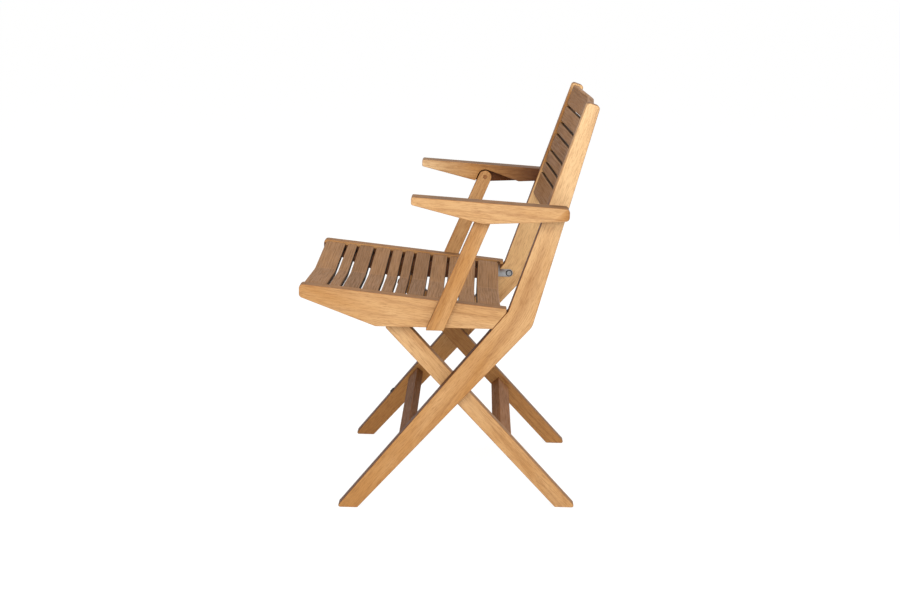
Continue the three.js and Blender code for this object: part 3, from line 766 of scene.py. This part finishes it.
def slatTree():
    tree = bpy.data.node_groups.new("dishedSlats", "GeometryNodeTree")
    addInput(tree, "Slat places", "NodeSocketGeometry")
    for name in ("Thickness", "Dish depth", "Flat end", "Bend half width",
                 "Edge rounding", "Lower rounding", "Pale tone", "Deep tone"):
        addInput(tree, name, "NodeSocketFloat")
    addInput(tree, "Seed", "NodeSocketInt")
    addInput(tree, "Finish", "NodeSocketMaterial")
    tree.interface.new_socket("Slats", in_out="OUTPUT", socket_type="NodeSocketGeometry")
    source = addNode(tree, "NodeGroupInput")
    given = {socket.name: socket for socket in source.outputs if socket.name}
    places = given["Slat places"]

    # one turn of the loop for each slat
    size = addNode(tree, "GeometryNodeAttributeDomainSize", {0: places}, component="MESH")
    loopStart = addNode(tree, "GeometryNodeRepeatInput")
    loopEnd = addNode(tree, "GeometryNodeRepeatOutput")
    loopStart.pair_with_output(loopEnd)
    feed(tree, loopStart.inputs["Iterations"], size.outputs["Point Count"])
    index = loopStart.outputs["Iteration"]

    def sampled(kind, value):
        sockets = {"Geometry": places, "Value": value, "Index": index}
        node = addNode(tree, "GeometryNodeSampleIndex", sockets, data_type=kind, domain="POINT")
        return node.outputs[0]

    def sampledNumber(name):
        named = addNode(tree, "GeometryNodeInputNamedAttribute", {"Name": name}, data_type="FLOAT")
        return sampled("FLOAT", named.outputs["Attribute"])

    def randomNumber(low, high, step):
        node = addNode(tree, "FunctionNodeRandomValue", {
            "ID": index, "Seed": maths(tree, "ADD", given["Seed"], step)}, data_type="FLOAT")
        ends = [socket for socket in node.inputs if socket.enabled and socket.name in ("Min", "Max")]
        feed(tree, ends[0], low)
        feed(tree, ends[1], high)
        return [socket for socket in node.outputs if socket.enabled][0]

    def stored(geometry, name, kind, value):
        node = addNode(tree, "GeometryNodeStoreNamedAttribute", {"Geometry": geometry, "Name": name},
                       data_type=kind, domain="POINT")
        values = [socket for socket in node.inputs if socket.name == "Value" and socket.enabled]
        feed(tree, values[0], value)
        return node.outputs[0]

    slat = addNode(tree, "GeometryNodeCurveToMesh", {
        "Curve": slatPath(tree, given, sampledNumber("slatHalf")),
        "Profile Curve": slatSection(tree, given, sampledNumber("slatWidth")), "Fill Caps": True,
    }).outputs[0]
    ranges = [slatShape[key] for key in ("grainAlong", "grainBeside", "grainAbove")]
    own = combined(tree, *(randomNumber(*ends, step) for step, ends in enumerate(ranges)))
    wood = addNode(tree, "ShaderNodeVectorMath", {
        0: position(tree), 1: (1.0, 1.0, slatShape["figureFall"]), 2: own}, operation="MULTIPLY_ADD")
    slat = stored(slat, "grain", "FLOAT_VECTOR", wood.outputs[0])
    tone = randomNumber(given["Pale tone"], given["Deep tone"], len(ranges))
    slat = stored(slat, "tone", "FLOAT", tone)
    moved = addNode(tree, "GeometryNodeSetPosition", {
        "Geometry": slat, "Offset": sampled("FLOAT_VECTOR", position(tree))})
    joined = addNode(tree, "GeometryNodeJoinGeometry")
    for part in (loopStart.outputs["Geometry"], moved.outputs[0]):
        feed(tree, joined.inputs[0], part)
    feed(tree, loopEnd.inputs["Geometry"], joined.outputs[0])
    realized = addNode(tree, "GeometryNodeRealizeInstances", {0: loopEnd.outputs["Geometry"]})
    painted = addNode(tree, "GeometryNodeSetMaterial", {
        "Geometry": realized.outputs[0], "Material": given["Finish"]})
    addNode(tree, "NodeGroupOutput", {0: painted.outputs[0]})
    return tree


def setInputs(modifier, values):
    sockets = {item.name: item.identifier for item in modifier.node_group.interface.items_tree
               if item.item_type == "SOCKET" and item.in_out == "INPUT"}
    for name, value in values.items():
        modifier[sockets[name]] = value


def slatPlace(node, turn):
    flat = [turn.transposed() @ vertex.co for vertex in nodes[node].data.vertices]
    low = Vector(tuple(min(point[axis] for point in flat) for axis in range(3)))
    high = Vector(tuple(max(point[axis] for point in flat) for axis in range(3)))
    return Vector((0, (low.y + high.y) / 2, high.z)), high.y - low.y, high.x


def addSlats(name, facts, tree):
    turn = Matrix.Rotation(math.radians(facts["slope"]), 3, "X")
    members = [f'{facts["nodes"]}{index + 1}' for index in range(facts["count"])]
    places = [slatPlace(node, turn) for node in members]
    mesh = bpy.data.meshes.new(name + "Places")
    mesh.from_pydata([place for place, width, half in places], [], [])
    floatLayer(mesh, "slatWidth", "POINT", [width for place, width, half in places])
    floatLayer(mesh, "slatHalf", "POINT", [half for place, width, half in places])
    source = addObject(name + "Source", mesh)
    modifier = source.modifiers.new("slats", "NODES")
    modifier.node_group = tree
    low, high = facts["tones"]
    setInputs(modifier, {
        "Thickness": facts["thickness"], "Dish depth": facts["dish"], "Flat end": facts["flatEnd"],
        "Bend half width": facts["bendHalf"], "Edge rounding": facts["rounding"],
        "Lower rounding": facts["lowerRounding"],
        "Pale tone": low, "Deep tone": high, "Seed": facts["seed"], "Finish": teak["teakTop"],
    })
    piece = smoothed(applied(source, name + "Swept"), name)
    ends = (min(place.y - width / 2 for place, width, half in places),
            max(place.y + width / 2 for place, width, half in places))
    dressSlats(piece.data, facts, ends, turn)
    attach(piece, facts["body"])
    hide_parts(*members)
    return piece


def dressSlats(mesh, facts, ends, turn):
    # each slat's own tone from the tree, deepened with painted shade on the faces inside a gap and on the
    # near half
    own = [0.0] * len(mesh.vertices)
    mesh.attributes["tone"].data.foreach_get("value", own)
    mesh.attributes.remove(mesh.attributes["tone"])
    normals = [corner.vector.copy() for corner in mesh.corner_normals]
    tones, edges = [0.0] * len(mesh.loops), [0.0] * len(mesh.loops)
    gentle, steep = slatShape["edgeSlant"]
    for face in mesh.polygons:
        for index in face.loop_indices:
            vertex = mesh.loops[index].vertex_index
            side = ramp(abs(normals[index].y), *slatShape["gapRamp"])
            across = mesh.vertices[vertex].co.x
            if min(abs(mesh.vertices[vertex].co.y - end) for end in ends) < slatShape["rowEnd"]:
                side = 0.0
            if normals[index].y > 0 and across > 0:
                side *= facts["rearFaceShare"]
            near = facts["nearHalfShade"] * ramp(across, 0, slatShape["nearRamp"])
            tones[index] = own[vertex] + facts["gapShade"] * side + near
            # a painted highlight along the crease in the dish's middle
            creaseHighlight = facts["creaseHighlight"] if abs(across) < slatShape["creaseHalf"] else 0.0
            edges[index] = 1.0 if gentle < abs(face.normal.y) < steep else creaseHighlight
    floatLayer(mesh, "tone", "CORNER", tones)
    mesh.transform(turn.to_4x4())
    normals = [corner.vector.copy() for corner in mesh.corner_normals]
    topShadeAndRoughWeight, endFace = slatShape["topShadeAndRoughWeight"], slatShape["endFace"]
    # upward faces take painted shade, and a little more roughness
    floatLayer(mesh, "topShadeAndRoughness", "CORNER", [topShadeAndRoughWeight * max(0.0, normal.z) for normal in normals])
    floatLayer(mesh, "endGrain", "CORNER",
               [1.0 if abs(normal.x) > endFace else 0.0 for normal in normals])
    floatLayer(mesh, "edge", "CORNER", edges)
    floatLayer(mesh, "warmth", "POINT", [facts["warmth"]] * len(mesh.vertices))


print("sweeping the slats")
slats = slatTree()
for name, facts in slatRows.items():
    addSlats(name, facts, slats)


# metal and nylon bits: finish and rounding of each
metalBits = {
    "hinge_plate": ("brushedSteel", 0.0005), "hinge_bolt": ("brushedSteel", 0.0005),
    "hinge_screw": ("brushedSteel", 0.0003), "hinge_pin": ("brushedSteel", 0.0003),
    "crossing_pin": ("brushedSteel", 0.0004), "armrest_pin": ("brushedSteel", 0.0004),
    "post_foot_pin": ("brushedSteel", 0.0004), "crossing_washer": ("darkNylon", 0.0004),
}
stopStud = ("darkNylon", 0.0012)
bitSteps = 2   # of the rounding


def addBit(node, finish, rounding):
    levelWay = (lambda point: Vector((0, 1, 0))) if "plate" in node else None
    piece = roundedPiece(node, "bit_" + node, rounding, bitSteps, alongAt=levelWay, keepBores=False)
    for face in piece.data.polygons:
        face.material_index = 0
    # the ear and its pin, tucked behind the last slat, get painted shade in dark brown
    above, before = bitWearAndShade["earShadeAbove"], bitWearAndShade["earShadeBefore"]
    floatLayer(piece.data, "earShade", "POINT", [
        1.0 if finish == "brushedSteel" and vertex.co.z > above and 0 < vertex.co.y < before else 0.0
        for vertex in piece.data.vertices])
    piece.data.materials.clear()
    piece.data.materials.append(bitMaterials[finish])
    return settle(piece, node)


# dark ring under each bolt's head, turned from a small section
boltRing = {"inner": 0.0056, "outer": 0.0078, "thickness": 0.0010, "sides": 48, "softness": 0.0002}


def addBoltRing(side):
    low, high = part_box(f"hinge_plate_{side}")
    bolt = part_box(f"hinge_bolt_{side}")
    middle = (bolt[0] + bolt[1]) / 2
    face = low.x if side == "left" else high.x
    out = -1 if side == "left" else 1
    soft, depth = boltRing["softness"], boltRing["thickness"]
    inner, outer = boltRing["inner"], boltRing["outer"]
    section = [(inner, 0), (inner, depth - soft), (inner + soft, depth),
               (outer - soft, depth), (outer, depth - soft), (outer, 0)]
    build = bmesh.new()
    rings = []
    for step in range(boltRing["sides"]):
        angle = 2 * math.pi * step / boltRing["sides"]
        across, up = math.cos(angle), math.sin(angle)
        places = [(face + out * reach, middle.y + radius * across, middle.z + radius * up)
                  for radius, reach in section]
        rings.append([build.verts.new(place) for place in places])
    for index, ring in enumerate(rings):
        following = rings[(index + 1) % len(rings)]
        for near in range(len(section)):
            far = (near + 1) % len(section)
            build.faces.new((ring[near], ring[far], following[far], following[near]))
    bmesh.ops.recalc_face_normals(build, faces=build.faces)
    mesh = bpy.data.meshes.new(f"bolt_ring_{side}")
    build.to_mesh(mesh)
    build.free()
    smoothFaces(mesh)
    mesh.materials.append(bitMaterials["darkNylon"])
    ring = addObject(f"bolt_ring_{side}", mesh)
    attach(ring, "back_frame")


print("making the hinge plates, pins and the stud")
for side in ("left", "right"):
    addBoltRing(side)
for side in ("left", "right"):
    for kind, (finish, rounding) in metalBits.items():
        addBit(f"{kind}_{side}", finish, rounding)
addBit("stop_stud", *stopStud)


# floor and light
studio = {
    "floorHalf": 40.0,
    "floorColour": (244, 243, 241),
    "floorGlow": 0.82,           # share of the floor's own white that the camera sees
    "floorWhite": 1.12,
    "worldLight": 0.50,
    "lamps": [
        {"name": "keyLamp", "place": (3.2, 0.1, 1.9), "size": 2.0, "power": 84},
        {"name": "topLamp", "place": (0.3, -0.4, 2.9), "size": 2.4, "power": 28},
        {"name": "rearLamp", "place": (-1.8, 1.8, 1.8), "size": 1.8, "power": 22},
    ],
    "aim": (0.0, 0.0, 0.45),
}


def seenShare(tree):
    rays = addNode(tree, "ShaderNodeLightPath")
    seen = maths(tree, "MAXIMUM", rays.outputs["Is Camera Ray"], rays.outputs["Is Glossy Ray"])
    return maths(tree, "MAXIMUM", seen, rays.outputs["Is Transmission Ray"])


def addFloor():
    half = studio["floorHalf"]
    mesh = bpy.data.meshes.new("studioFloor")
    corners = [(-half, -half, 0), (half, -half, 0), (half, half, 0), (-half, half, 0)]
    mesh.from_pydata(corners, [], [(0, 1, 2, 3)])
    floor = addObject("studioFloor", mesh)
    material, tree = newMaterial("studioFloor")
    cloth = addNode(tree, "ShaderNodeBsdfDiffuse", {"Color": colour(*studio["floorColour"])})
    glow = addNode(tree, "ShaderNodeEmission", {"Strength": studio["floorWhite"]})
    share = maths(tree, "MULTIPLY", seenShare(tree), studio["floorGlow"])
    mix = addNode(tree, "ShaderNodeMixShader", {0: share, 1: cloth.outputs[0], 2: glow.outputs[0]})
    addNode(tree, "ShaderNodeOutputMaterial", {0: mix.outputs[0]})
    mesh.materials.append(material)


def addLight():
    world = bpy.data.worlds.new("studioWorld")
    world.use_nodes = True
    tree = world.node_tree
    tree.nodes.clear()
    strength = span(tree, seenShare(tree), 0.0, 1.0, studio["worldLight"], 1.0, "LINEAR")
    glow = addNode(tree, "ShaderNodeBackground", {"Strength": strength, "Color": (1, 1, 1, 1)})
    addNode(tree, "ShaderNodeOutputWorld", {0: glow.outputs[0]})
    scene.world = world
    for lamp in studio["lamps"]:
        data = bpy.data.lights.new(lamp["name"], "AREA")
        data.size = lamp["size"]
        data.energy = lamp["power"]
        light = addObject(lamp["name"], data)
        light.location = lamp["place"]
        aim = Vector(studio["aim"]) - light.location
        light.rotation_euler = aim.to_track_quat("-Z", "Y").to_euler()


print("setting up the studio")
addFloor()
addLight()
scene.view_settings.view_transform = "Standard"

print("the chair is dressed")
